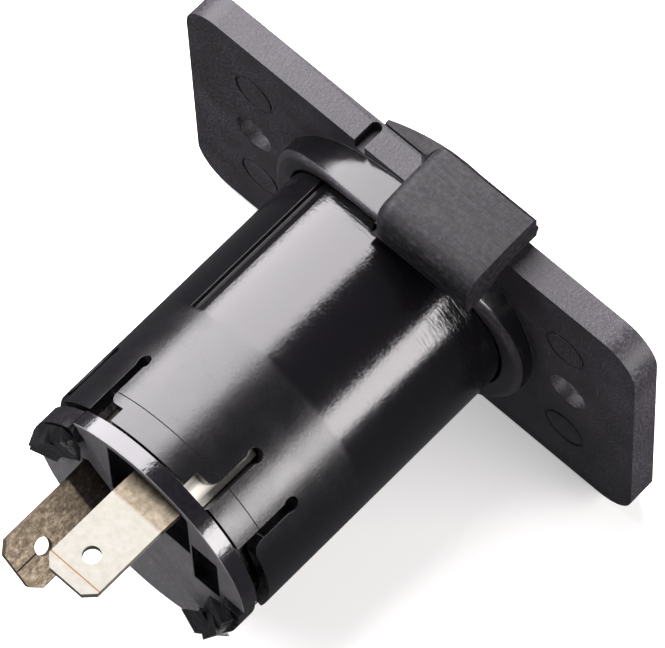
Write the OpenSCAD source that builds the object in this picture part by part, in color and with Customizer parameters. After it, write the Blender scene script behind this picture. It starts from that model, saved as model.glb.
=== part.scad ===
// 12 V accessory power socket with a two-screw rectangular plate, a spring lid and blade terminals.
// The barrel runs along Y: the plug enters from -Y, the terminals leave at +Y, the hinge is at +Z.
// The origin lies on the barrel's axis, in the plate's rear face.

/* [Plate] */
// Length of the plate along X
plate_len = 58.8; // [57:0.2:66]
// Height of the plate along Z
plate_h = 34; // [33.6:0.2:38]
// Thickness of the plate
plate_t = 3.2; // [3:0.1:3.4]
// Corner radius of the plate
corner_r = 4.2; // [2:0.2:6]
// Distance between the two screw holes
hole_spacing = 41.9; // [41:0.1:44]
// Diameter of the screw holes
hole_d = 4.6; // [3.6:0.1:5]
// Diameter of the countersink for the screw heads
csk_d = 8.4; // [7:0.1:9]

/* [Collar] */
// Outer diameter of the collar behind the plate
collar_d = 32.8; // [32.4:0.1:33.2]
// Height of the collar at the sides
collar_h = 2.1; // [1.6:0.1:2.6]
// Extra height of the collar at the top, under the hinge bracket
collar_rise = 2.6; // [1.5:0.1:2.8]

/* [Barrel] */
// Outer diameter of the clamping sleeve
sleeve_d = 27.8; // [27.4:0.1:27.9]
// Y of the rear end of the sleeve
sleeve_end = 36; // [35.6:0.1:36]
// Bore of the contact shell that takes the plug
bore_d = 21.4; // [20.9:0.1:21.6]
// Thickness of the rear cap's flange
cap_t = 1.9; // [1.6:0.1:2]

/* [Blades] */
// Width of the blade terminals
blade_w = 6.35; // [6.2:0.05:6.5]
// Thickness of the blade terminals
blade_t = 0.8; // [0.7:0.05:0.9]
// Y of the blade tips
blade_tip = 50.4; // [48:0.1:52]

/* [Lid] */
// Diameter of the lid
lid_d = 28.8; // [28:0.2:29.2]
// Thickness of the lid over the crown
lid_t = 1.9; // [1.6:0.1:2]

/* [Hidden] */
$fn = 96;

// Plate and collar
collar_bore_r = 14.15;
shoulder_y = -1.2;            // step inside the plate that the sleeve bears on
plate_bore_r = 12.75;
mark_x = 20.5;                // ejector marks above and below the screw holes
mark_z = 8.7;
mark_r = 2.5;
mark_groove = 0.3;
mark_depth = 0.15;
slot_x = 6.2;                 // keying slot in the plate's top edge
slot_w = 1.3;
slot_front = -2.3;            // y at which the slot's round front end is centred
slot_depth = 1.4;
rim_z = 2;                    // the collar's rim rises above this height
rim_r = pow(collar_d / 2 - rim_z, 2) / (2 * collar_rise);

// Clamping sleeve and its snap fingers
sleeve_r = sleeve_d / 2;
sleeve_ir = sleeve_r - 1.35;
finger_half = 31.8;           // half angle of a finger
finger_root = 29.0;           // y at which the slits beside a finger end
slit_w = 1.1;
slit_end_d = 1.6;
shoulder_end = 34.3;          // y at which the shoulders beside a tongue end
side_finger_end = 34.7;
tongue_half = 20.5;
groove_angles = [53, 61];     // keying groove along the front part of the sleeve
groove_end = 21.5;
groove_depth = 0.42;

// Front body: tube, flange and two snap legs that hold the rear cap
body_or = 12.4;
body_ir = 11.45;
body_end = 26;
flange_r = 13.4;
flange_front = -4.1;
leg_angles = [30, 205];
leg_half = 24;
hook_end = 40.6;
tooth_w = 5;                  // width and spacing of a hook's three teeth
tooth_step = 11.5;

// Contact shell
shell_ir = bore_d / 2;
shell_or = 11.3;
shell_front = flange_front + 0.05;
shell_end = 35.4;
lip_r = 12.3;
lip_t = 0.5;

// Rear cap
cap_r = sleeve_r - 0.1;
cap_front = 36.2;
cap_rear = cap_front + cap_t;
spigot_r = 10.55;             // spigot of the cap inside the shell
spigot_front = 33.4;
well_floor = cap_rear - 1.5;  // recess that the terminals leave from
well_x = [-7.0, 3.4];
notch_angle = 20;             // pointed notches beside the gaps that the legs pass through
notch_w = 1.9;
pocket_x = [-10.6, -7.2];
pocket_z = [-1.5, 6.1];

// Terminals
blade_hole_r = 0.95;
blade_hole_back = 3.6;        // from the tip to the hole's centre
tip_chamfer = 1.1;
crease_y = 40.8;              // y at which a blade's flat tab begins
joggle = 0.35;                // how far the tab stands off its strap
ground_x = -3.0;
ground_z = 11.3;
ground_angle = 105;           // rivet of the ground terminal's strap along the shell
ground_strap = [11.85, 12.4];
strap_angles = [98, 123.5];
rivet_y = 31.5;
positive_x = 4.45;
positive_z = 2.45;
positive_turn = 45;           // the centre terminal stands turned about Y
strap_w = 4.4;
blade_root = 36.7;
foot_y = [32.1, 32.9];

// Hinge
pin_y = -4.5;
pin_z = 15.0;
pin_r = 0.6;
knuckle_r = 1.2;
sweep_r = 1.5;                // room that a knuckle turns in
block_x = [-13.0, -0.5];      // rear block of the hinge bracket
block_top = 20.6;
block_front = -4.2;
block_rear = 5.7;
block_r = 2.4;                // round upper rear edge of the block
lug_x = -3;                   // centre of the front lug
lug_half = 10;
lug_z = [14.75, 17.3];
lug_bow = 2.15;               // how far the lug stands out of the plate
ear_x = [[-11.9, -9.4], [-3.0, -0.9]];
knuckle_x = [[-9.2, -7.3], [-5.1, -3.2]];
spring_r = 0.85;              // torsion spring: mean radius, wire radius and the ends of its coil
spring_wire_r = 0.17;
spring_x = [-6.95, -5.45];

// Lid and its seal
lid_r = lid_d / 2;
lid_back = -4.3;
lid_front = lid_back - lid_t;
seal_r = 12.2;
seal_t = 0.75;
seal_plug_r = 9.4;
seal_plug_end = -2.2;

// Sprung centre contact
button_y = [25.0, 26.2];
button_r = 4.2;
stem_r = 1.45;
stem_end = 34.0;
bush_ir = 1.5;
bush_or = 2.1;
bush_y = [31.3, 35.8];
seat_y = [30.95, 31.25];

// Lays a solid drawn along +Z so that it runs along +Y from y0
module along_y(y0 = 0) {
    translate([0, y0, 0]) rotate([-90, 0, 0]) children();
}

// Revolves a profile of [radius, y] points about the barrel's axis
module revolved(points) {
    along_y() rotate_extrude() polygon(points);
}

// Tube about the barrel's axis from y0 to y1
module tube(r_out, r_in, y0, y1) {
    along_y(y0) difference() {
        cylinder(h = y1 - y0, r = r_out);
        translate([0, 0, -1]) cylinder(h = y1 - y0 + 2, r = r_in);
    }
}

// Ring sector about the barrel's axis; angles run from +X towards +Z
module sector(r_in, r_out, y0, y1, a0, a1) {
    along_y(y0) rotate([0, 0, -a1]) rotate_extrude(angle = a1 - a0)
        translate([r_in, 0]) square([r_out - r_in, y1 - y0]);
}

// Turns a piece drawn at +X to an angle measured from +X towards +Z
module at_angle(a) {
    rotate([0, -a, 0]) children();
}

// Cylinder along X from x0 to x1 about the point y, z
module along_x(x0, x1, y, z, r) {
    translate([x0, y, z]) rotate([0, 90, 0]) cylinder(h = x1 - x0, r = r);
}

// Extrudes an outline of [y, z] points along X from x0 to x1
module outline_x(x0, x1, points) {
    translate([x0, 0, 0]) rotate([90, 0, 90]) linear_extrude(x1 - x0) polygon(points);
}

// Box between two corners
module box(a, b) {
    translate(a) cube(b - a);
}

// Plate outline: a rectangle with round corners
module plate_outline() {
    square([plate_len - 2 * corner_r, plate_h], center = true);
    square([plate_len, plate_h - 2 * corner_r], center = true);
    for (sx = [-1, 1], sz = [-1, 1])
        translate([sx * (plate_len / 2 - corner_r), sz * (plate_h / 2 - corner_r)])
            circle(r = corner_r);
}

// Space behind the collar's curved rim, or behind a rim that is lifted further back
module behind_rim(lift) {
    y0 = collar_h + lift;
    difference() {
        box([-20, y0, -25], [20, y0 + 30, 25]);
        difference() {
            box([-21, y0 - 1, rim_z], [21, y0 + 12, 26]);
            along_x(-22, 22, y0 + rim_r, rim_z, rim_r);
        }
    }
}

module screw_hole() {
    along_y(-plate_t - 1) cylinder(h = plate_t + 2, d = hole_d);
    along_y(-plate_t - 0.01) cylinder(h = (csk_d - hole_d) / 2, d1 = csk_d, d2 = hole_d);
}

module mounting_plate() {
    color("#35323a") difference() {
        union() {
            rotate([90, 0, 0]) linear_extrude(plate_t) plate_outline();
            difference() {
                along_y(-1) cylinder(h = 9, d = collar_d);
                behind_rim(0);
            }
        }
        along_y(-plate_t - 1) cylinder(h = 20, r = plate_bore_r);
        along_y(shoulder_y) cylinder(h = 20, r = collar_bore_r);
        for (sx = [-1, 1]) {
            translate([sx * hole_spacing / 2, 0, 0]) screw_hole();
            for (sz = [-1, 1]) translate([sx * mark_x, 0, sz * mark_z])
                tube(mark_r, mark_r - mark_groove, -mark_depth, 1);
        }
        translate([slot_x, slot_front, plate_h / 2 - slot_depth]) cylinder(h = 3, d = slot_w);
        box([slot_x - slot_w / 2, slot_front, plate_h / 2 - slot_depth],
            [slot_x + slot_w / 2, 1, plate_h / 2 + 1]);
    }
}

// One snap leg, drawn at +X: a curved strap that ends in three splayed teeth behind the cap
module snap_leg() {
    sector(body_ir + 0.05, body_or - 0.05, body_end - 1, cap_rear + 0.4, -leg_half, leg_half);
    sector(body_ir + 0.1, sleeve_r - 0.25, cap_front + 0.15, cap_rear + 0.55, -leg_half + 0.3, leg_half - 0.3);
    for (t = [-1, 0, 1]) at_angle(t * tooth_step)
        translate([0, 0, -tooth_w / 2]) linear_extrude(tooth_w)
            polygon([[body_ir + 0.25, cap_rear - 0.4], [body_or - 0.3, cap_rear - 0.4],
                [body_or - 0.3, cap_rear + 0.6], [sleeve_r - 0.5 + 0.3 * t, cap_rear + 0.9],
                [body_or + 0.2, hook_end - 0.5 * t * t], [body_ir - 1.0 - 0.6 * t * t, cap_rear + 1.2 + 0.3 * t],
                [body_ir - 0.6, cap_rear + 0.7], [body_ir + 0.25, cap_rear + 0.6]]);
}

module front_body() {
    color("#26262a") {
        difference() {
            union() {
                tube(body_or, body_ir, flange_front, body_end);
                tube(flange_r, body_ir, flange_front, -plate_t - 0.05);
            }
            along_y(flange_front - 1) cylinder(h = 1.1 + lip_t, r = lip_r + 0.05);
        }
        for (a = leg_angles) at_angle(a) snap_leg();
    }
}

module contact_shell() {
    color("#e4e0d2") difference() {
        union() {
            tube(shell_or, shell_ir, shell_front, shell_end);
            tube(lip_r, shell_ir, shell_front, shell_front + lip_t);
        }
        at_angle(ground_angle) along_x(shell_ir - 1, shell_or + 1, rivet_y, 0, 0.8);
    }
}

// Slits at both sides of a snap finger, each with a round end
module finger_slits() {
    for (s = [-1, 1]) at_angle(s * finger_half) {
        box([sleeve_ir - 1, finger_root, -slit_w / 2], [sleeve_r + 1, sleeve_end + 1, slit_w / 2]);
        along_x(sleeve_ir - 1, sleeve_r + 1, finger_root, 0, slit_end_d / 2);
    }
}

module clamping_sleeve() {
    color("#161519") difference() {
        tube(sleeve_r, sleeve_ir, shoulder_y + 0.05, sleeve_end);
        sector(sleeve_r - groove_depth, sleeve_r + 1, shoulder_y - 1, groove_end,
            groove_angles[0], groove_angles[1]);
        for (a = [0, 90, 180, 270]) at_angle(a) finger_slits();
        for (a = [90, 270], s = [-1, 1]) at_angle(a + s * (finger_half + tongue_half) / 2)
            sector(sleeve_ir - 1, sleeve_r + 1, shoulder_end, sleeve_end + 1,
                (tongue_half - finger_half) / 2, (finger_half - tongue_half) / 2);
        for (a = [0, 180]) at_angle(a)
            sector(sleeve_ir - 1, sleeve_r + 1, side_finger_end, sleeve_end + 1,
                -finger_half, finger_half);
    }
}

// Slot for a flat strap of width w that stands at x, z and is turned about Y
module strap_slot(x, z, turn, w, y0, y1) {
    translate([x, 0, z]) rotate([0, -turn, 0])
        box([-w / 2, y0, -blade_t / 2 - joggle - 0.15], [w / 2, y1, blade_t / 2 + 0.1]);
}

module rear_cap() {
    color("#5a5a5c") difference() {
        union() {
            along_y(cap_front) cylinder(h = cap_t, r = cap_r);
            along_y(spigot_front) cylinder(h = cap_front - spigot_front + 0.1, r = spigot_r);
        }
        along_y(spigot_front - 1) cylinder(h = 3.6, r = bush_or + 0.05);
        for (a = leg_angles) at_angle(a)
            sector(body_ir - 0.15, cap_r + 1, cap_front - 1, cap_rear + 1, -leg_half - 1, leg_half + 1);
        for (a = leg_angles, s = [-1, 1]) at_angle(a + s * notch_angle)
            translate([body_ir + 0.3, cap_front + 0.8, 0]) rotate([0, 45, 0])
                cube([notch_w, cap_t * 2, notch_w]);
        intersection() {
            box([well_x[0], well_floor, 3.4], [well_x[1], cap_rear + 1, 14]);
            along_y(well_floor - 1) cylinder(h = 8, r = 13.1);
        }
        box([pocket_x[0], cap_rear - 1.2, pocket_z[0]], [pocket_x[1], cap_rear + 1, pocket_z[1]]);
        strap_slot(ground_x, ground_z, 0, blade_w + 0.3, cap_front - 1, cap_rear + 1);
        sector(spigot_r + 0.2, ground_strap[1] + 0.2, cap_front - 1, cap_front + 0.75,
            strap_angles[0] - 1.5, strap_angles[1] + 1.5);
        strap_slot(positive_x, positive_z, positive_turn, strap_w + 0.3, spigot_front - 1, cap_rear + 1);
        strap_slot(positive_x, positive_z, positive_turn, blade_w + 0.3, blade_root - 0.2, cap_rear + 1);
    }
}

// A flat blade along +Y about x = 0, z = 0: a strap, a joggle and a tab with a hole
module blade(root) {
    difference() {
        rotate([90, 0, 90]) translate([0, 0, -blade_w / 2]) linear_extrude(blade_w)
            polygon([[root, -blade_t / 2 - joggle], [root, blade_t / 2 - joggle],
                [crease_y, blade_t / 2], [blade_tip, blade_t / 2],
                [blade_tip, -blade_t / 2], [crease_y, -blade_t / 2]]);
        for (s = [-1, 1]) translate([s * blade_w / 2, blade_tip, 0]) rotate([0, 0, 45])
            cube([tip_chamfer * sqrt(2), tip_chamfer * sqrt(2), 4], center = true);
        translate([0, blade_tip - blade_hole_back, -2]) cylinder(h = 4, r = blade_hole_r);
    }
}

module ground_terminal() {
    color("#d8d2c0") difference() {
        union() {
            translate([ground_x, 0, ground_z]) blade(cap_front + 0.05);
            sector(ground_strap[0], ground_strap[1], 28.4, cap_front + 0.6, strap_angles[0], strap_angles[1]);
            sector(spigot_r + 0.4, ground_strap[1] - 0.05, cap_front + 0.05, cap_front + 0.55,
                strap_angles[0] + 0.5, strap_angles[1] - 2);
        }
        at_angle(ground_angle) along_x(11, 14, rivet_y, 0, 0.8);
    }
}

// Rivet with a shoulder that spaces the strap off the shell
module ground_rivet() {
    color("#c9c4b6") at_angle(ground_angle) {
        along_x(shell_ir + 0.05, ground_strap[1] - 0.02, rivet_y, 0, 0.78);
        along_x(shell_or + 0.05, ground_strap[0] - 0.05, rivet_y, 0, 1.3);
    }
}

module positive_terminal() {
    color("#8a7a66") difference() {
        union() {
            translate([positive_x, 0, positive_z]) rotate([0, -positive_turn, 0]) {
                blade(blade_root);
                box([-strap_w / 2, foot_y[0], -blade_t / 2 - joggle],
                    [strap_w / 2, blade_root + 0.3, blade_t / 2 - joggle]);
            }
            along_y(foot_y[0]) cylinder(h = foot_y[1] - foot_y[0], r = 4.6);
        }
        along_y(foot_y[0] - 1) cylinder(h = 3, r = bush_or + 0.05);
    }
}

module contact_bush() {
    color("#b8975a") {
        tube(bush_or, bush_ir, bush_y[0], bush_y[1]);
        tube(3.0, bush_ir, bush_y[0], bush_y[0] + 0.35);
    }
}

module lock_washer() {
    color("#9a9aa0") difference() {
        tube(4.4, bush_or + 0.1, 31.7, 32.05);
        for (a = [0:45:315]) at_angle(a) box([3.5, 31, -0.4], [6, 33, 0.4]);
    }
}

module spring_seat() {
    color("#c9c4b6") tube(3.9, stem_r + 0.15, seat_y[0], seat_y[1]);
}

module insulating_washer() {
    color("#8a5a3a") difference() {
        tube(10.4, bush_or + 0.1, 32.95, 33.35);
        strap_slot(positive_x, positive_z, positive_turn, strap_w + 0.4, 32, 34);
    }
}

module shell_gasket() {
    color("#1c1c1e") tube(11.3, 10.65, shell_end + 0.05, cap_front - 0.05);
}

module contact_button() {
    color("#c8b27a") {
        revolved([[0, button_y[0]], [button_r - 0.7, button_y[0]], [button_r, button_y[0] + 0.5],
            [button_r, button_y[1]], [0, button_y[1]]]);
        along_y(button_y[1] - 0.1) cylinder(h = stem_end - button_y[1] + 0.1, r = stem_r);
    }
}

// Points [position, outward, sideways] along a helix about Z: its mean radius, its turns, its
// start angle, the heights at its two ends, and steps points a turn
function helix(r, turns, a0, z0, z1, steps) = [for (i = [0 : turns * steps])
    let (a = a0 + i * 360 / steps, z = z0 + (z1 - z0) * i / (turns * steps))
    [[r * cos(a), r * sin(a), z], [cos(a), sin(a), 0], [0, 0, 1]]];

// The same kind of point, moved by d
function moved(p, d) = [p[0] + d, p[1], p[2]];

// A round wire of radius r along a list of such points, with flat ends
module wire(path, r, sides = 8) {
    n = len(path);
    ring = [for (p = path, k = [0 : sides - 1])
        p[0] + r * cos(k * 360 / sides) * p[1] + r * sin(k * 360 / sides) * p[2]];
    walls = [for (i = [0 : n - 2], k = [0 : sides - 1])
        let (j = (k + 1) % sides)
        each [[i * sides + k, (i + 1) * sides + k, (i + 1) * sides + j],
              [i * sides + k, (i + 1) * sides + j, i * sides + j]]];
    ends = [[for (k = [0 : sides - 1]) k],
            [for (k = [0 : sides - 1]) n * sides - 1 - k]];
    polyhedron(ring, concat(walls, ends));
}

// Compression spring between the contact button and its seat, with closed end coils
module contact_spring() {
    r = 0.25;
    steps = 20;
    z0 = button_y[1] + 0.05 + r;
    z1 = seat_y[0] - 0.05 - r;
    color("#9a9aa0") along_y() wire(concat(
        helix(3.1, 1, 0, z0, z0 + 2 * r, steps),
        [for (p = helix(3.1, 2, 360, z0 + 2 * r, z1 - 2 * r, steps)) if (p[0][2] > z0 + 2 * r) p],
        [for (p = helix(3.1, 1, 1080, z1 - 2 * r, z1, steps)) if (p[0][2] > z1 - 2 * r) p]), r);
}

// Hinge bracket: a saddle over the plate's top edge, with the lid's lug in front
module hinge_bracket() {
    lug_r = (lug_half * lug_half + lug_bow * lug_bow) / (2 * lug_bow);
    color("#2c2a30") difference() {
        union() {
            difference() {
                outline_x(block_x[0], block_x[1], concat([[block_front, plate_h / 2 + 0.05],
                    [block_front, block_top - 0.4], [block_front + 0.4, block_top],
                    [0.2, block_top - 0.1], [2.2, block_top - 0.35]],
                    [for (a = [75 : -12.5 : 0]) [block_rear - block_r + block_r * cos(a),
                        block_top - 0.45 - block_r + block_r * sin(a)]],
                    [[block_rear, 14.9], [3.8, 15.1], [0.8, 16.2], [0.05, plate_h / 2 + 0.05]]));
                intersection() {
                    along_y(-1) cylinder(h = 12, r = collar_d / 2 + 0.2);
                    difference() {
                        box([-20, -1, 0], [20, 12, 22]);
                        behind_rim(0.2);
                    }
                }
                behind_rim(1.2);
                along_y(-1) cylinder(h = 12, r = sleeve_r + 0.9);
            }
            intersection() {
                translate([lug_x, -plate_t - lug_bow + lug_r, lug_z[0]])
                    cylinder(h = lug_z[1] - lug_z[0], r = lug_r);
                box([lug_x - lug_half + 1.2, -6, 14], [lug_x + lug_half - 1.2, -plate_t - 0.05, 18]);
            }
            for (e = ear_x) along_x(e[0], e[1], pin_y, pin_z, knuckle_r);
        }
        box([ear_x[0][1], -7, 13], [ear_x[1][0], -plate_t, pin_z + sweep_r]);
        along_x(ear_x[0][0] + 1, ear_x[1][1] + 0.2, pin_y, pin_z, pin_r + 0.02);
    }
}

module hinge_pin() {
    color("#b9b9be") along_x(ear_x[0][0] + 1.1, ear_x[1][1] - 0.1, pin_y, pin_z, pin_r);
}

// Torsion spring on the hinge pin: one leg stands up behind the pin, one lies on the lid
module lid_spring() {
    coil = helix(spring_r, 3.5, 0, spring_x[0], spring_x[1], 18);
    last = coil[len(coil) - 1];
    color("#9a9aa0") translate([0, pin_y, pin_z]) multmatrix([[0, 0, 1], [1, 0, 0], [0, 1, 0]])
        wire(concat([moved(coil[0], [0, 1.3, 0])], coil, [moved(last, [0, -2.1, 0])]), spring_wire_r);
}

module lid() {
    color("#1d1c20") difference() {
        union() {
            revolved([[0, lid_back - 0.8], [seal_r + 0.1, lid_back - 0.8], [seal_r + 0.1, lid_back],
                [lid_r, lid_back], [lid_r, lid_back - 0.7], [lid_r - 0.9, lid_back - 1.2],
                [lid_r - 4.5, lid_front + 0.2], [lid_r - 9, lid_front], [0, lid_front]]);
            for (k = knuckle_x) {
                along_x(k[0], k[1], pin_y, pin_z, knuckle_r);
                box([k[0], lid_back - 1.0, 9.5], [k[1], lid_back, pin_z]);
            }
        }
        for (e = ear_x) along_x(e[0] - 0.3, e[1] + 0.3, pin_y, pin_z, sweep_r);
        along_x(knuckle_x[0][1], knuckle_x[1][0], pin_y, pin_z, sweep_r);
        along_x(ear_x[1][0], lug_x + 5.5, pin_y, pin_z, sweep_r + 0.2);
        along_y(lid_back - 0.8) cylinder(h = 2, r = seal_r + 0.1);
        along_x(-11, 0, pin_y, pin_z, pin_r + 0.05);
        box([spring_x[1] - 0.3, lid_front - 1, 12.6], [spring_x[1] + 0.3, -5.1, 15]);
    }
}

module lid_seal() {
    color("#2a2a2c") difference() {
        union() {
            along_y(lid_back - seal_t) cylinder(h = seal_t, r = seal_r);
            along_y(lid_back - 0.1) cylinder(h = seal_plug_end - lid_back + 0.1, r = seal_plug_r);
        }
        along_y(lid_back + 0.3) cylinder(h = 5, r = seal_plug_r - 1.2);
    }
}

mounting_plate();
front_body();
contact_shell();
clamping_sleeve();
rear_cap();
hinge_bracket();
hinge_pin();
lid_spring();
lid();
lid_seal();
ground_terminal();
ground_rivet();
positive_terminal();
contact_bush();
lock_washer();
contact_button();
contact_spring();
spring_seat();
insulating_washer();
shell_gasket();
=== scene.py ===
import math

import bmesh
import bpy
import numpy as np
from mathutils import Matrix, Vector
from mathutils.geometry import delaunay_2d_cdt


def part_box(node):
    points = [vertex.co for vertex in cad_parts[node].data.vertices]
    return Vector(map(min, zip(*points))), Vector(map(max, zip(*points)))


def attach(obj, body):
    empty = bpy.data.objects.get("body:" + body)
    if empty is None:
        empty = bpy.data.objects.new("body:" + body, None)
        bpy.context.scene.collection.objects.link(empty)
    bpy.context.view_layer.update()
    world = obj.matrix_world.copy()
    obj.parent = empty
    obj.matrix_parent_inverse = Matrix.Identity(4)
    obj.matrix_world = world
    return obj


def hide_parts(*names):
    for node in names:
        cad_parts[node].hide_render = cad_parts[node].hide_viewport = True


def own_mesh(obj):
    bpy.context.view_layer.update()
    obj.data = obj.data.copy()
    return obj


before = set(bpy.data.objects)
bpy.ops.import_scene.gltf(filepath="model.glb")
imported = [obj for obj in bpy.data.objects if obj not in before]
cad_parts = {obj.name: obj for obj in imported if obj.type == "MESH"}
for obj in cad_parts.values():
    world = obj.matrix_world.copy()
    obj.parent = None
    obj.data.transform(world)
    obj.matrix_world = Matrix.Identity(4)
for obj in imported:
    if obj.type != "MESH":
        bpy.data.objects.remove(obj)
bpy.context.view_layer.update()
MM = 0.001
scene = bpy.context.scene


# ---- Camera, studio and floor ------------------------------------------------------------------
# The socket is seen from behind, from high up on its -X side, as a product shot on a pale table.
# The camera stands 650 mm off with a long lens, and leans a little about its own line of sight.
# The table is a white acrylic sheet that glows faintly, so that shadows on it stay soft and pale;
# it is kept out of reflections.

def direction(azimuth, elevation):
    """Unit vector from the object towards a camera or lamp; azimuth 0 is in front, at -Y."""
    a, e = math.radians(azimuth), math.radians(elevation)
    return Vector((math.sin(a) * math.cos(e), -math.cos(a) * math.cos(e), math.sin(e)))


def facing(place, back, lean=0.0):
    """Transform of a camera or lamp that stands at place and looks along -back."""
    turn = (-back).to_track_quat("-Z", "Y").to_matrix().to_4x4()
    return Matrix.Translation(place) @ turn @ Matrix.Rotation(math.radians(lean), 4, "Z")


camera = bpy.data.objects.new("camera", bpy.data.cameras.new("camera"))
scene.collection.objects.link(camera)
CAMERA_BACK = direction(226.0, 64.0)
CAMERA_AIM = Vector((1.38, 7.94, -2.37)) * MM
CAMERA_DISTANCE = 648 * MM
camera.matrix_world = facing(CAMERA_AIM + CAMERA_BACK * CAMERA_DISTANCE, CAMERA_BACK, lean=-3.2)
camera.data.lens = 358.6
camera.data.sensor_width = 36
camera.data.shift_x = -0.0176
camera.data.shift_y = -0.0096
camera.data.clip_start = 0.01
scene.camera = camera
scene.view_settings.view_transform = "Standard"


def softbox(name, toward, distance, width, height, watts, tint):
    """A rectangular lamp at distance along toward, facing the barrel's middle; height runs along Y."""
    lamp = bpy.data.lights.new(name, "AREA")
    lamp.shape = "RECTANGLE"
    lamp.size = width
    lamp.size_y = height
    lamp.energy = watts
    lamp.color = tint
    box = bpy.data.objects.new(name, lamp)
    scene.collection.objects.link(box)
    back = Vector(toward).normalized()
    across = back.cross(Vector((0, 1, 0))).normalized()
    up = across.cross(-back).normalized()
    turn = Matrix((across, up, back)).transposed().to_4x4()
    box.matrix_world = Matrix.Translation(Vector((0, 18 * MM, 0)) + back * distance) @ turn
    return box


softbox("wide_softbox", (0.62, -0.30, 0.72), 0.50, 0.62, 0.44, 9.5, (1.0, 0.96, 1.0))
softbox("strip_softbox", (-0.87, -0.32, 0.28), 0.50, 0.20, 0.44, 3.6, (1.0, 0.96, 0.97))
softbox("rear_fill", (0.61, 0.57, 0.55), 0.60, 0.25, 0.25, 2.1, (0.97, 0.98, 1.0))

world = bpy.data.worlds.new("studio")
scene.world = world
world.use_nodes = True
world.node_tree.nodes["Background"].inputs["Color"].default_value = (0.095, 0.095, 0.10, 1)
world.node_tree.nodes["Background"].inputs["Strength"].default_value = 1.0


def hex_colour(code):
    """sRGB hex to linear RGBA: each channel is divided by 12.92 near black, else raised to 2.4."""
    value = np.array([int(code[i:i + 2], 16) for i in (1, 3, 5)]) / 255
    linear = np.where(value <= 0.04045, value / 12.92, ((value + 0.055) / 1.055) ** 2.4)
    return (*linear.tolist(), 1.0)


def add(tree, kind, settings=None, links=None, stops=None):
    """Adds a node; settings are attributes or input values, links are input name to output socket."""
    node = tree.nodes.new(kind)
    for key, value in (settings or {}).items():
        if isinstance(key, str) and hasattr(node, key):
            setattr(node, key, value)
        else:
            node.inputs[key].default_value = value
    for key, socket in (links or {}).items():
        tree.links.new(socket, node.inputs[key])
    if stops:
        ramp = node.color_ramp
        while len(ramp.elements) < len(stops):
            ramp.elements.new(0.5)
        for element, (place, colour) in zip(ramp.elements, stops):
            element.position = place
            element.color = hex_colour(colour) if isinstance(colour, str) else (colour,) * 3 + (1,)
    return node


def new_material(name, **values):
    """A material with one Principled shader; values are set on the shader's own sockets."""
    material = bpy.data.materials.new(name)
    material.use_nodes = True
    tree = material.node_tree
    shader = tree.nodes["Principled BSDF"]
    for key, value in values.items():
        shader.inputs[key.replace("_", " ")].default_value = value
    place = add(tree, "ShaderNodeTexCoord").outputs["Object"]
    return material, tree, shader, place


def noise(tree, place, size_mm, stretch=(1, 1, 1), detail=4, rough=0.55):
    """Noise whose blobs are about size_mm across, longer by stretch along X, Y and Z."""
    scale = tuple(1 / (size_mm * MM * s) for s in stretch)
    spot = add(tree, "ShaderNodeMapping", {"Scale": scale}, {"Vector": place})
    return add(tree, "ShaderNodeTexNoise", {"Scale": 1.0, "Detail": detail, "Roughness": rough},
               {"Vector": spot.outputs[0]}).outputs["Fac"]


def remap(tree, value, low, high, to_low, to_high):
    """Carries value from low..high to to_low..to_high, held at the ends."""
    return add(tree, "ShaderNodeMapRange", {1: low, 2: high, 3: to_low, 4: to_high},
               {0: value}).outputs[0]


def bump(tree, shader, height, depth_mm, before=None):
    """Raises the surface by height times depth_mm, on top of an earlier bump."""
    links = {"Height": height}
    if before is not None:
        links["Normal"] = before
    out = add(tree, "ShaderNodeBump", {"Strength": 1.0, "Distance": depth_mm * MM}, links).outputs[0]
    tree.links.new(out, shader.inputs["Normal"])
    return out


table_top = bpy.data.meshes.new("table_top")
FLOOR_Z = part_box("mounting_plate")[0].z - 0.4 * MM
table_top.from_pydata([(-4, -4, FLOOR_Z), (4, -4, FLOOR_Z), (4, 4, FLOOR_Z), (-4, 4, FLOOR_Z)],
                      [], [(0, 1, 2, 3)])
floor = bpy.data.objects.new("floor", table_top)
scene.collection.objects.link(floor)
floor.data.materials.append(new_material(
    "white_backlit_acrylic", Base_Color=hex_colour("#f6f5f3"), Roughness=0.7,
    Emission_Color=(1.0, 1.0, 1.0, 1.0), Emission_Strength=0.40)[0])
floor.visible_glossy = False


# ---- Clamping sleeve ---------------------------------------------------------------------------
# The sleeve is a moulded black acetal tube that slides over the front body and pins the plate.
# Slits with drilled-looking round ends split its rear into snap fingers. Its front part is
# polished, and its rear part is a little rubbed from being pushed home.

def dressed(piece, material, body, slot, *nodes):
    """Gives a piece its one material and its body, and the CAD nodes that it stands for. slot is not used.
    """
    piece.data.materials.clear()
    piece.data.materials.append(material)
    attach(piece, body)
    if nodes:
        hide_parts(*nodes)


def new_piece(name, points, faces, sharp=35):
    """An object from points in metres, smooth except across edges sharper than sharp degrees."""
    mesh = bpy.data.meshes.new(name)
    mesh.from_pydata(points, [], faces)
    mesh.shade_smooth()
    mesh.set_sharp_from_angle(angle=math.radians(sharp))
    piece = bpy.data.objects.new(name, mesh)
    scene.collection.objects.link(piece)
    return piece


def soften(piece, width_mm, segments=2, angle=40):
    """Rounds every edge that is sharper than angle, as a mould's own radius does."""
    round_over = piece.modifiers.new("mould_radius", "BEVEL")
    round_over.width = width_mm * MM
    round_over.segments = segments
    round_over.limit_method = "ANGLE"
    round_over.angle_limit = math.radians(angle)
    round_over.harden_normals = True
    round_over.use_clamp_overlap = True


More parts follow.
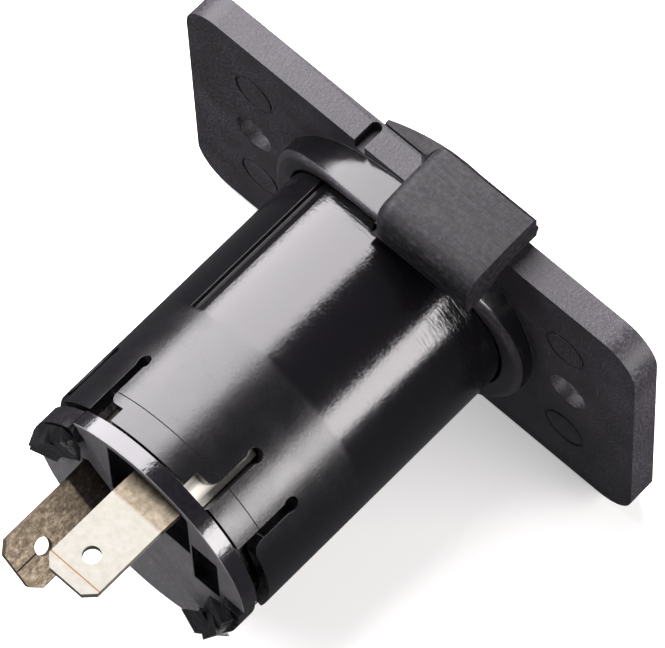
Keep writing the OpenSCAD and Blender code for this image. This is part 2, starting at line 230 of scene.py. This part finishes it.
SLEEVE_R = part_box("clamping_sleeve")[1].x / MM
SLEEVE_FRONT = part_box("clamping_sleeve")[0].y / MM
SLEEVE_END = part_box("clamping_sleeve")[1].y / MM
SLEEVE_WALL = 1.35
FINGER_HALF, TONGUE_HALF = 31.8, 20.5      # degrees either side of a finger's middle
SLIT_ROOT, SLIT_W, SLIT_END_R = 29.0, 1.1, 0.8
SHOULDER_END, SIDE_FINGER_END, CORNER_R = 34.3, 34.7, 1.1
SEAM = 225.0                               # where the unrolled sheet is joined, underneath
NET_TURN, NET_STEP = 2.0, 1.2              # the net's spacing, in degrees round and mm along
NET_GAP, OUTLINE_STEP = 0.3, 0.5           # its gap from the edges, and the edges' own spacing
SEAM_ROWS_END, SAME_POINT = 33.0, 1e-6     # the last seam point, in mm; points this near are joined
KEY_GROOVE, KEY_GROOVE_END, KEY_GROOVE_DEPTH = (53.0, 61.0), 21.5, 0.42
GROOVE_RAMP = 0.12                         # the width of the groove's sloping walls
WORN_FROM, WORN_TO = 6, 20                 # the polish fades gently between these two places
PAD_STEP = 33.1                            # a fine step runs round the fingers here


def unrolled(angle):
    """Distance in millimetres round the sleeve from the seam to an angle in degrees."""
    return np.radians(angle - SEAM) * SLEEVE_R


def arc(centre, radius, start, stop, steps=8):
    """Points on a circle about centre from start to stop, in degrees."""
    turn = np.radians(np.linspace(start, stop, steps))
    return (np.array(centre) + radius * np.column_stack([np.cos(turn), np.sin(turn)])).tolist()


def slit(middle):
    """A slit's outline down one wall, round its drilled end and up the other wall."""
    dip = math.degrees(math.acos(SLIT_W / 2 / SLIT_END_R))
    return arc((unrolled(middle), SLIT_ROOT), SLIT_END_R, 180 - dip, 360 + dip, 12)


def finger(middle, end, tongue):
    """A finger's outline between its two slits: rounded shoulders, and a tongue if it has one."""
    left = unrolled(middle - FINGER_HALF) + SLIT_W / 2
    right = unrolled(middle + FINGER_HALF) - SLIT_W / 2
    points = arc((left + CORNER_R, end - CORNER_R), CORNER_R, 180, 90, 6)
    if tongue:
        a, b = unrolled(middle - TONGUE_HALF), unrolled(middle + TONGUE_HALF)
        points += [(a, end), (a, SLEEVE_END), (b, SLEEVE_END), (b, end)]
    return points + arc((right - CORNER_R, end - CORNER_R), CORNER_R, 90, 0, 6)


def sleeve_outline():
    """The sleeve's edge as an unrolled sheet, counted round the seam, the rear and the front."""
    points = [(0, SLEEVE_FRONT), (0, SLEEVE_END)]
    for middle in (270, 360, 450, 540):
        first, last = middle - FINGER_HALF, middle + FINGER_HALF
        tongue = middle in (270, 450)
        points += [(unrolled(first) - SLIT_W / 2, SLEEVE_END)] + slit(first)
        points += finger(middle, SHOULDER_END if tongue else SIDE_FINGER_END, tongue)
        points += slit(last) + [(unrolled(last) + SLIT_W / 2, SLEEVE_END)]
    width = 2 * math.pi * SLEEVE_R
    return np.array(points + [(width, SLEEVE_END), (width, SLEEVE_FRONT)])


def stepped(points, step):
    """Adds points along a closed outline's sides, so that none goes further than step round."""
    ends = np.roll(points, -1, axis=0)
    parts = []
    for start, end in zip(points, ends):
        count = max(1, math.ceil(abs(end[0] - start[0]) / step))
        parts.append(start + (end - start) * np.arange(count)[:, None] / count)
    return np.vstack(parts)


def clear_of(points, outline, gap):
    """Keeps the points further than gap from every side of a closed outline."""
    a = outline[None, :, :]
    along = np.roll(outline, -1, axis=0)[None, :, :] - a
    share = ((points[:, None, :] - a) * along).sum(2) / np.maximum((along ** 2).sum(2), 1e-12)
    near = a + np.clip(share, 0, 1)[:, :, None] * along
    return points[np.linalg.norm(points[:, None, :] - near, axis=2).min(1) > gap]


def sleeve_radius(angle, y):
    """The barrel's radius, less the keying groove along the front part."""
    turn = np.mod(angle, 360)
    across = np.minimum(turn - KEY_GROOVE[0], KEY_GROOVE[1] - turn) * math.radians(1) * SLEEVE_R
    groove = np.clip(across / GROOVE_RAMP, 0, 1) * np.clip((KEY_GROOVE_END - y) / GROOVE_RAMP, 0, 1)
    return SLEEVE_R - KEY_GROOVE_DEPTH * groove


def make_sleeve():
    """The sheet's outline is filled with a net of points, then each (distance, y) is wrapped
    round the barrel's axis to (r cos a, y, r sin a), and the wall is thickened inwards."""
    outline = stepped(sleeve_outline(), OUTLINE_STEP)
    width = 2 * math.pi * SLEEVE_R
    even_rows = np.arange(0.0, SLEEVE_END - 0.4, NET_STEP)
    rows = np.concatenate([even_rows, [KEY_GROOVE_END, KEY_GROOVE_END - GROOVE_RAMP]])
    ramp = math.degrees(GROOVE_RAMP / SLEEVE_R)
    angles = np.concatenate([np.arange(SEAM + NET_TURN, SEAM + 359, NET_TURN),
                             360 + np.array([KEY_GROOVE[0], KEY_GROOVE[0] + ramp,
                                             KEY_GROOVE[1] - ramp, KEY_GROOVE[1]])])
    net = np.stack(np.meshgrid(unrolled(angles), rows, indexing="ij"), axis=-1).reshape(-1, 2)
    net = clear_of(net, outline, NET_GAP)
    beside_seam = even_rows[even_rows < SEAM_ROWS_END]
    seam_rows = np.column_stack([np.tile([0, width], len(beside_seam)), np.repeat(beside_seam, 2)])
    every = np.vstack([outline, seam_rows, net])
    count = len(outline)
    edges = [(i, (i + 1) % count) for i in range(count)]
    verts, _, faces, *_ = delaunay_2d_cdt([Vector(p) for p in every], edges,
                                          [list(range(count))], 1, 1e-5)
    flat = np.array([tuple(v) for v in verts])
    angle = np.degrees(flat[:, 0] / SLEEVE_R) + SEAM
    radius = sleeve_radius(angle, flat[:, 1]) * MM
    turn = np.radians(angle)
    points = np.column_stack([radius * np.cos(turn), flat[:, 1] * MM, radius * np.sin(turn)])
    piece = new_piece("clamping_sleeve_moulding", points.tolist(), faces)
    joined = bmesh.new()
    joined.from_mesh(piece.data)
    bmesh.ops.remove_doubles(joined, verts=joined.verts, dist=SAME_POINT)
    bmesh.ops.recalc_face_normals(joined, faces=joined.faces)
    middle = max(joined.faces, key=lambda f: f.calc_center_median().z)
    if middle.normal.z < 0:
        bmesh.ops.reverse_faces(joined, faces=joined.faces)
    joined.to_mesh(piece.data)
    joined.free()
    wall = piece.modifiers.new("wall", "SOLIDIFY")
    wall.thickness = SLEEVE_WALL * MM
    wall.offset = -1
    soften(piece, 0.10)
    return piece


def sleeve_acetal():
    """Black acetal: mirror-like where the mould was polished, in front of KEY_GROOVE_END, and
    hazier behind it, where it is rubbed. A step 0.06 mm high runs round it at PAD_STEP."""
    material, tree, shader, place = new_material(
        "black_acetal_polished_and_rubbed", Base_Color=hex_colour("#0b0a0d"), IOR=1.5,
        Specular_IOR_Level=0.55)
    along = add(tree, "ShaderNodeSeparateXYZ", links={0: place}).outputs["Y"]
    rubbed = remap(tree, along, (KEY_GROOVE_END - 0.7) * MM, (KEY_GROOVE_END + 0.3) * MM, 0.0, 1.0)
    worn = remap(tree, along, WORN_FROM * MM, WORN_TO * MM, 0.0, 0.35)
    either = add(tree, "ShaderNodeMath", {"operation": "MAXIMUM"}, {0: rubbed, 1: worn}).outputs[0]
    cloud = noise(tree, place, 3.0, detail=6)
    haze = add(tree, "ShaderNodeMath", {"operation": "MULTIPLY"},
               {0: either, 1: remap(tree, cloud, 0.3, 0.7, 0.75, 1.2)}).outputs[0]
    rough = add(tree, "ShaderNodeMath", {"operation": "MULTIPLY_ADD", 1: 0.17, 2: 0.10},
                {0: haze}).outputs[0]
    tree.links.new(rough, shader.inputs["Roughness"])
    grain = noise(tree, place, 0.35, detail=3)
    first = bump(tree, shader, grain, 0.012)
    scratch = noise(tree, place, 0.22, stretch=(14, 1, 14), detail=3, rough=0.7)
    fine = remap(tree, scratch, 0.52, 0.75, 0.0, 1.0)
    second = bump(tree, shader, fine, 0.006, first)
    step = remap(tree, along, (PAD_STEP - 0.05) * MM, (PAD_STEP + 0.05) * MM, 0.0, 1.0)
    bump(tree, shader, step, 0.06, second)
    return material


dressed(make_sleeve(), sleeve_acetal(), "socket", "sleeve_acetal", "clamping_sleeve")


# ---- Mounting plate and collar -----------------------------------------------------------------
# The plate is moulded in black glass-filled nylon, with its collar in one piece. Its big faces
# carry the fine grain of a spark-eroded mould; the collar's outer wall is polished and painted
# darker as painted shade, and its rim has a wide radius.

SAME_CORNER, FLAT_WITHIN = 2e-6, 0.6       # corners this near are joined; degrees between panels
WIDE_FOLD = 0.6                            # least bend, in radians, of an edge with a wide radius


def eased_copy(node, name, width_mm, segments=2, angle=38, wide=None):
    """The CAD node's own surface, its triangles merged back into panels, with its sharp edges
    rounded. wide is (rule, radius): edges whose ends both fit the rule get that larger radius."""
    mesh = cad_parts[node].data.copy()
    mesh.name = name
    skin = bmesh.new()
    skin.from_mesh(mesh)
    bmesh.ops.remove_doubles(skin, verts=skin.verts, dist=SAME_CORNER)
    bmesh.ops.dissolve_limit(skin, angle_limit=math.radians(FLAT_WITHIN),
                             verts=skin.verts, edges=skin.edges)
    if wide:
        rule, radius = wide
        chosen = [e for e in skin.edges if e.is_manifold and e.calc_face_angle(0) > WIDE_FOLD
                  and all(rule(v.co / MM) for v in e.verts)]
        bmesh.ops.bevel(skin, geom=chosen, offset=radius * MM, segments=7, profile=0.5,
                        affect="EDGES", clamp_overlap=False)
    skin.to_mesh(mesh)
    skin.free()
    mesh.shade_smooth()
    mesh.set_sharp_from_angle(angle=math.radians(angle))
    piece = bpy.data.objects.new(name, mesh)
    scene.collection.objects.link(piece)
    if width_mm:
        soften(piece, width_mm, segments, angle)
    return piece


COLLAR_R, RIM_RADIUS = 16.4, 0.9


def plate_nylon():
    """Glass-filled nylon: near-black, satin, with a 0.3 mm spark-eroded grain. Only the collar's
    outer wall, at COLLAR_R from the barrel's axis, is polished and nearly free of grain, and its
    darker base colour there is painted shade."""
    material, tree, shader, place = new_material("black_glass_filled_nylon", IOR=1.5)
    patch = noise(tree, place, 5.0, detail=3)
    speck = noise(tree, place, 0.30, detail=3, rough=0.7)
    mixed = add(tree, "ShaderNodeMath", {"operation": "MULTIPLY_ADD", 1: 0.9},
                {0: speck, 2: remap(tree, patch, 0.3, 0.7, 0.0, 0.1)}).outputs[0]
    colour = add(tree, "ShaderNodeValToRGB", links={0: mixed},
                 stops=[(0.32, "#131214"), (0.5, "#262329"), (0.68, "#454048")])
    split = add(tree, "ShaderNodeSeparateXYZ", links={0: place})
    squares = [add(tree, "ShaderNodeMath", {"operation": "MULTIPLY"},
                   {0: split.outputs[axis], 1: split.outputs[axis]}).outputs[0] for axis in "XZ"]
    radius = add(tree, "ShaderNodeMath", {"operation": "ADD"}, {0: squares[0], 1: squares[1]}).outputs[0]
    on_wall = add(tree, "ShaderNodeMath", {"operation": "MULTIPLY"}, {
        0: remap(tree, radius, (COLLAR_R - 0.07) ** 2 * MM ** 2, (COLLAR_R - 0.03) ** 2 * MM ** 2, 0.0, 1.0),
        1: remap(tree, radius, (COLLAR_R + 0.02) ** 2 * MM ** 2, (COLLAR_R + 0.1) ** 2 * MM ** 2, 1.0, 0.0),
    }).outputs[0]
    wall = add(tree, "ShaderNodeMath", {"operation": "MULTIPLY"},
               {0: on_wall, 1: remap(tree, split.outputs["Y"], 0.02 * MM, 0.06 * MM, 0.0, 1.0)}).outputs[0]
    # On the collar's outer wall the base colour is darker: painted shade for the shadow that falls on that
    # wall, on top of its real polish.
    tint = add(tree, "ShaderNodeMix", {"data_type": "RGBA", "B": hex_colour("#0e0d10")},
               {"Factor": wall, "A": colour.outputs[0]})
    tree.links.new(tint.outputs["Result"], shader.inputs["Base Color"])
    matt = remap(tree, speck, 0.3, 0.7, 0.42, 0.60)
    polish = remap(tree, noise(tree, place, 1.2), 0.3, 0.7, 0.15, 0.24)
    rough = add(tree, "ShaderNodeMix", {"data_type": "FLOAT"}, {"Factor": wall, "A": matt, "B": polish})
    tree.links.new(rough.outputs["Result"], shader.inputs["Roughness"])
    grain = add(tree, "ShaderNodeMath", {"operation": "MULTIPLY"},
                {0: speck, 1: remap(tree, wall, 0.0, 1.0, 1.0, 0.12)}).outputs[0]
    bump(tree, shader, grain, 0.06)
    return material


PLATE_NYLON = plate_nylon()
dressed(eased_copy("mounting_plate", "mounting_plate_moulding", 0.2, 3,
                   wide=(lambda c: math.hypot(c.x, c.z) > COLLAR_R - 0.1 and c.y > 2.0, RIM_RADIUS)),
        PLATE_NYLON, "socket", "plate_nylon", "mounting_plate")


# ---- Hinge bracket -----------------------------------------------------------------------------
# The bracket is a separate black moulding that sits like a saddle over the plate's top edge. Its
# top was drawn along the mould, which left fine streaks along X. The edge of its block that is on
# the left from behind has a wide soft radius.

def bracket_nylon():
    """Black nylon, low in gloss, with 0.4 mm wide streaks along X where it slid out of the mould."""
    material, tree, shader, place = new_material("streaked_black_nylon", IOR=1.5, Specular_IOR_Level=0.3)
    streak = noise(tree, place, 0.42, stretch=(7, 1, 1), detail=4, rough=0.65)
    speck = noise(tree, place, 0.5, detail=3)
    mixed = add(tree, "ShaderNodeMath", {"operation": "MULTIPLY_ADD", 1: 0.55},
                {0: streak, 2: remap(tree, speck, 0.3, 0.7, 0.05, 0.4)}).outputs[0]
    colour = add(tree, "ShaderNodeValToRGB", links={0: mixed},
                 stops=[(0.28, "#0a090b"), (0.5, "#131115"), (0.75, "#2d2a31")])
    tree.links.new(colour.outputs[0], shader.inputs["Base Color"])
    tree.links.new(remap(tree, streak, 0.3, 0.7, 0.48, 0.66), shader.inputs["Roughness"])
    first = bump(tree, shader, streak, 0.05)
    bump(tree, shader, noise(tree, place, 0.3, detail=2), 0.02, first)
    return material


BLOCK_LEFT_X, BLOCK_REAR_Y, BLOCK_FOOT_Z, BLOCK_RADIUS = -0.5, 5.6, 16.9, 1.6
dressed(eased_copy("hinge_bracket", "hinge_bracket_moulding", 0.3, 3, 30, wide=(
    lambda c: abs(c.x - BLOCK_LEFT_X) < 0.02 and (c.z > BLOCK_FOOT_Z or c.y > BLOCK_REAR_Y),
    BLOCK_RADIUS)),
        bracket_nylon(), "socket", "bracket_nylon", "hinge_bracket")


# ---- Front body and its hooks ------------------------------------------------------------------
# The inner moulding carries the plug's mouth. Its two legs come out behind the cap, where their
# jagged black teeth are snapped over the cap's rim.

def hook_plastic():
    """Black ABS, IOR 1.54, pinched and chipped at the teeth, with facets about 1.3 mm wide."""
    material, tree, shader, place = new_material("chipped_black_abs", IOR=1.54, Specular_IOR_Level=0.4)
    chip = add(tree, "ShaderNodeTexVoronoi", {"Scale": 1 / (1.3 * MM), "feature": "F1"},
               {"Vector": place})
    tint = remap(tree, chip.outputs["Color"], 0.0, 1.0, 0.0, 1.0)
    colour = add(tree, "ShaderNodeValToRGB", links={0: tint}, stops=[(0.0, "#070708"), (1.0, "#171519")])
    tree.links.new(colour.outputs[0], shader.inputs["Base Color"])
    tree.links.new(remap(tree, noise(tree, place, 0.8), 0.3, 0.7, 0.22, 0.40), shader.inputs["Roughness"])
    first = bump(tree, shader, chip.outputs["Distance"], 0.12)
    bump(tree, shader, noise(tree, place, 0.6, detail=4), 0.08, first)
    return material


dressed(eased_copy("front_body", "front_body_moulding", 0.08), hook_plastic(),
        "socket", "black_abs", "front_body")


# ---- Rear cap ----------------------------------------------------------------------------------
# The cap is a matt grey phenolic disc with a shiny black rim. It closes the barrel, carries the
# terminals and has a small oblong pocket beside them.

def cap_phenolic():
    """Grey phenolic: matt and lightly scratched on its rear face, and black and glossy on its rim."""
    material, tree, shader, place = new_material("grey_phenolic", IOR=1.55, Specular_IOR_Level=0.7)
    split = add(tree, "ShaderNodeSeparateXYZ", links={0: place})
    rear = remap(tree, split.outputs["Y"], (CAP_REAR - 0.12) * MM, (CAP_REAR - 0.02) * MM, 0.0, 1.0)
    speck = noise(tree, place, 0.5, detail=3)
    face = add(tree, "ShaderNodeValToRGB", links={0: speck},
               stops=[(0.3, "#434245"), (0.7, "#58575a")])
    rim = add(tree, "ShaderNodeValToRGB", links={0: speck},
              stops=[(0.3, "#0d0c0f"), (0.7, "#17151a")])
    tint = add(tree, "ShaderNodeMix", {"data_type": "RGBA"},
               {"Factor": rear, "A": rim.outputs[0], "B": face.outputs[0]})
    scratch = noise(tree, place, 0.16, stretch=(9, 1, 2.5), detail=2, rough=0.8)
    line = add(tree, "ShaderNodeMath", {"operation": "MULTIPLY"},
               {0: remap(tree, scratch, 0.66, 0.74, 0.0, 0.55), 1: rear}).outputs[0]
    white = add(tree, "ShaderNodeMix", {"data_type": "RGBA", "B": hex_colour("#9a989c")},
                {"Factor": line, "A": tint.outputs["Result"]})
    tree.links.new(white.outputs["Result"], shader.inputs["Base Color"])
    tree.links.new(remap(tree, rear, 0.0, 1.0, 0.13, 0.62), shader.inputs["Roughness"])
    first = bump(tree, shader, speck, 0.02)
    bump(tree, shader, line, 0.03, first)
    return material


CAP_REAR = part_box("rear_cap")[1].y / MM
dressed(eased_copy("rear_cap", "rear_cap_moulding", 0.16, 3), cap_phenolic(),
        "socket", "grey_phenolic", "rear_cap")


# ---- Blade terminals ---------------------------------------------------------------------------
# Both blades are brass, 0.8 mm thick. The ground blade is stamped and keeps its bright tin plate,
# with painted shade on its strap and a painted highlight inside the barrel; the centre blade is
# thin stock folded double, has gone brown with age, and has painted shade in front of its crease.

def tinned_brass():
    """Tin plate over brass: satin and lightly clouded on the tab. From the cap's flange to the crease it
    is tan and darker, which is painted shade for the bend there, and inside the barrel it is near-white,
    a painted highlight. A brown line is scored across the tab at SCORE_BACK from its tip."""
    material, tree, shader, place = new_material("tin_plated_brass", Metallic=1.0)
    along = add(tree, "ShaderNodeSeparateXYZ", links={0: place}).outputs["Y"]
    behind = remap(tree, along, (CAP_FRONT + 0.1) * MM, (CAP_FRONT + 0.4) * MM, 0.0, 1.0)
    before = remap(tree, along, (CREASE - 0.2) * MM, (CREASE + 0.2) * MM, 1.0, 0.0)
    strap = add(tree, "ShaderNodeMath", {"operation": "MULTIPLY"}, {0: behind, 1: before}).outputs[0]
    speck = noise(tree, place, 0.7, detail=4)
    bright = add(tree, "ShaderNodeValToRGB", links={0: speck}, stops=[(0.3, "#939188"), (0.7, "#9b9a92")])
    # The strap's tan, darker tones are painted shade for the bend's darker reflection there.
    painted_shade_tan = add(tree, "ShaderNodeValToRGB", links={0: speck}, stops=[(0.3, "#554e42"), (0.7, "#7a7263")])
    tab = add(tree, "ShaderNodeMix", {"data_type": "RGBA"},
              {"Factor": strap, "A": bright.outputs[0], "B": painted_shade_tan.outputs[0]})
    # Inside the barrel the tin is painted near-white: a painted highlight where it shows through the slit.
    tint = add(tree, "ShaderNodeMix", {"data_type": "RGBA", "A": hex_colour("#f2efe6")},
               {"Factor": behind, "B": tab.outputs["Result"]})
    score = add(tree, "ShaderNodeMath",
                {"operation": "COMPARE", 1: (BLADE_TIP - SCORE_BACK) * MM, 2: 0.07 * MM},
                {0: along}).outputs[0]
    scored = add(tree, "ShaderNodeMix", {"data_type": "RGBA", "B": hex_colour("#8a6a48")},
                 {"Factor": score, "A": tint.outputs["Result"]})
    tree.links.new(scored.outputs["Result"], shader.inputs["Base Color"])
    tree.links.new(remap(tree, strap, 0.0, 1.0, 0.70, 0.55), shader.inputs["Roughness"])
    first = bump(tree, shader, speck, 0.015)
    bump(tree, shader, score, -0.04, first)
    return material


def aged_brass():
    """Tarnished plate: brown and tan specks 0.4 mm across, darker in front of the crease, where the
    darker tones are painted shade for the bend. From FOLD_START to the tip a dark line runs down
    the middle of its faces, where the folds meet."""
    material, tree, shader, place = new_material("tarnished_plated_brass", Metallic=0.85)
    along = add(tree, "ShaderNodeSeparateXYZ", links={0: place}).outputs["Y"]
    bend = remap(tree, along, (CREASE - 0.1) * MM, (CREASE + 0.2) * MM, 1.0, 0.0)
    speck = noise(tree, place, 0.40, stretch=(1, 1.8, 1), detail=6, rough=0.8)
    pale = add(tree, "ShaderNodeValToRGB", links={0: speck},
               stops=[(0.3, "#3d352d"), (0.5, "#6c6152"), (0.72, "#a59983")])
    # The darker tones used in front of the crease are painted shade for the bend there.
    dark = add(tree, "ShaderNodeValToRGB", links={0: speck},
               stops=[(0.3, "#181513"), (0.55, "#322b26"), (0.75, "#574d41")])
    tint = add(tree, "ShaderNodeMix", {"data_type": "RGBA"},
               {"Factor": bend, "A": pale.outputs[0], "B": dark.outputs[0]})
    turned = add(tree, "ShaderNodeMapping", {"Rotation": (0, math.radians(POSITIVE_TURN), 0)},
                 {"Vector": add(tree, "ShaderNodeVectorMath", {"operation": "SUBTRACT", 1: POSITIVE_AT},
                                {0: place}).outputs[0]})
    across = add(tree, "ShaderNodeSeparateXYZ", links={0: turned.outputs[0]}).outputs["X"]
    middle = add(tree, "ShaderNodeMath", {"operation": "COMPARE", 1: 0.0, 2: 0.09 * MM}, {0: across})
    seam = add(tree, "ShaderNodeMath", {"operation": "MULTIPLY"},
               {0: middle.outputs[0],
                1: remap(tree, along, FOLD_START * MM, (FOLD_START + 0.1) * MM, 0.0, 1.0)}).outputs[0]
    lined = add(tree, "ShaderNodeMix", {"data_type": "RGBA", "B": hex_colour("#1d1814")},
                {"Factor": seam, "A": tint.outputs["Result"]})
    tree.links.new(lined.outputs["Result"], shader.inputs["Base Color"])
    tree.links.new(remap(tree, speck, 0.3, 0.7, 0.60, 0.42), shader.inputs["Roughness"])
    first = bump(tree, shader, speck, 0.05)
    bump(tree, shader, seam, -0.08, first)
    return material


BLADE_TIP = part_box("ground_terminal")[1].y / MM
SCORE_BACK, FOLD_START = 1.35, 47.2
CAP_FRONT, CREASE = 36.2, 40.8             # front of the cap's flange, and start of a blade's tab
POSITIVE_AT = (4.45 * MM, 0, 2.45 * MM)    # the centre blade's own line along Y
POSITIVE_TURN = 45                         # degrees about that line that set it square to X and Z
dressed(eased_copy("ground_terminal", "ground_blade", 0.09), tinned_brass(),
        "socket", "tinned_brass", "ground_terminal")
dressed(eased_copy("positive_terminal", "positive_blade", 0.09), aged_brass(),
        "socket", "aged_brass", "positive_terminal")


# ---- Contact shell -----------------------------------------------------------------------------
# The shell is a drawn brass tube with bright nickel plate. It lines the bore that the plug goes
# into, and its rear end is closed by the cap.

def plated_metal(name, code, rough, scale_mm):
    """Plated or turned metal: its colour clouds by 18 percent over scale_mm, with 0.3 mm wear."""
    material, tree, shader, place = new_material(name, Metallic=1.0)
    cloud = noise(tree, place, scale_mm, detail=5)
    tint = hex_colour(code)
    deep = tuple(c * 0.82 for c in tint[:3]) + (1.0,)
    colour = add(tree, "ShaderNodeMix", {"data_type": "RGBA", "A": deep, "B": tint},
                 {"Factor": remap(tree, cloud, 0.35, 0.65, 0.0, 1.0)})
    tree.links.new(colour.outputs["Result"], shader.inputs["Base Color"])
    tree.links.new(remap(tree, cloud, 0.3, 0.7, rough * 0.8, rough * 1.3), shader.inputs["Roughness"])
    bump(tree, shader, noise(tree, place, 0.3, detail=2), 0.004)
    return material


dressed(eased_copy("contact_shell", "contact_shell_tube", 0.06),
        plated_metal("bright_nickel_plate", "#f4f0e6", 0.30, 2.5), "socket", "nickel_plate", "contact_shell")


# ---- Lid, its seal and its spring --------------------------------------------------------------
# The lid is a shallow black dome that turns on a steel pin in the bracket's ears. A rubber seal
# plugs the mouth when a wire spring holds the lid shut.

def grained_plastic(name, low, high, grain_mm, rough):
    """Moulded plastic or rubber with an even grain of grain_mm and a slight change of tone."""
    material, tree, shader, place = new_material(name, IOR=1.5)
    grain = noise(tree, place, grain_mm, detail=2)
    colour = add(tree, "ShaderNodeValToRGB", links={0: noise(tree, place, grain_mm * 8, detail=5)},
                 stops=[(0.3, low), (0.7, high)])
    tree.links.new(colour.outputs[0], shader.inputs["Base Color"])
    tree.links.new(remap(tree, grain, 0.3, 0.7, rough * 0.85, rough * 1.2), shader.inputs["Roughness"])
    bump(tree, shader, grain, grain_mm * 0.12)
    return material


RUBBER = grained_plastic("black_nitrile_rubber", "#1b1b1d", "#262629", 0.5, 0.75)
dressed(eased_copy("lid", "lid_moulding", 0.25, 3), grained_plastic(
    "grained_black_abs", "#1a191c", "#242227", 0.4, 0.42), "lid", "lid_abs", "lid")
dressed(eased_copy("lid_seal", "lid_seal_ring", 0.2, 3), RUBBER, "lid", "rubber", "lid_seal")
SPRING_WIRE = plated_metal("oiled_spring_wire", "#8f8f94", 0.32, 0.8)
dressed(eased_copy("lid_spring", "lid_spring_wire", 0, angle=60), SPRING_WIRE,
        "socket", "spring_steel", "lid_spring")
ZINC_STEEL = plated_metal("zinc_plated_steel", "#c4c2be", 0.28, 1.2)
dressed(eased_copy("hinge_pin", "hinge_pin_steel", 0.08), ZINC_STEEL, "socket", "steel", "hinge_pin")


# ---- Centre contact and the stack behind it ----------------------------------------------------
# A turned brass button rides on a coil spring, which closes up against its seat as the button is
# pushed in. The bush, washers, fibre insulator and gasket are stacked in front of the cap, and a
# steel rivet holds the ground blade's strap to the shell.

TURNED_BRASS = plated_metal("turned_brass", "#caa85c", 0.26, 1.5)
dressed(eased_copy("contact_button", "contact_button_brass", 0.12), TURNED_BRASS,
        "centre_contact", "brass", "contact_button")
contact_coil = eased_copy("contact_spring", "contact_spring_wire", 0, angle=60)
dressed(contact_coil, SPRING_WIRE, "socket", "spring_steel", "contact_spring")
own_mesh(contact_coil)
dressed(eased_copy("contact_bush", "contact_bush_brass", 0.06), TURNED_BRASS,
        "socket", "brass", "contact_bush")
dressed(eased_copy("lock_washer", "lock_washer_steel", 0.05), SPRING_WIRE,
        "socket", "spring_steel", "lock_washer")
dressed(eased_copy("spring_seat", "spring_seat_steel", 0.05), ZINC_STEEL, "socket", "steel", "spring_seat")
dressed(eased_copy("ground_rivet", "ground_rivet_steel", 0.1), ZINC_STEEL,
        "socket", "steel", "ground_rivet")
dressed(eased_copy("insulating_washer", "fibre_washer", 0.06), grained_plastic(
    "pressed_red_fibre", "#7a4630", "#96583c", 0.3, 0.7), "socket", "fibre", "insulating_washer")
dressed(eased_copy("shell_gasket", "shell_gasket_ring", 0.06), RUBBER,
        "socket", "rubber", "shell_gasket")
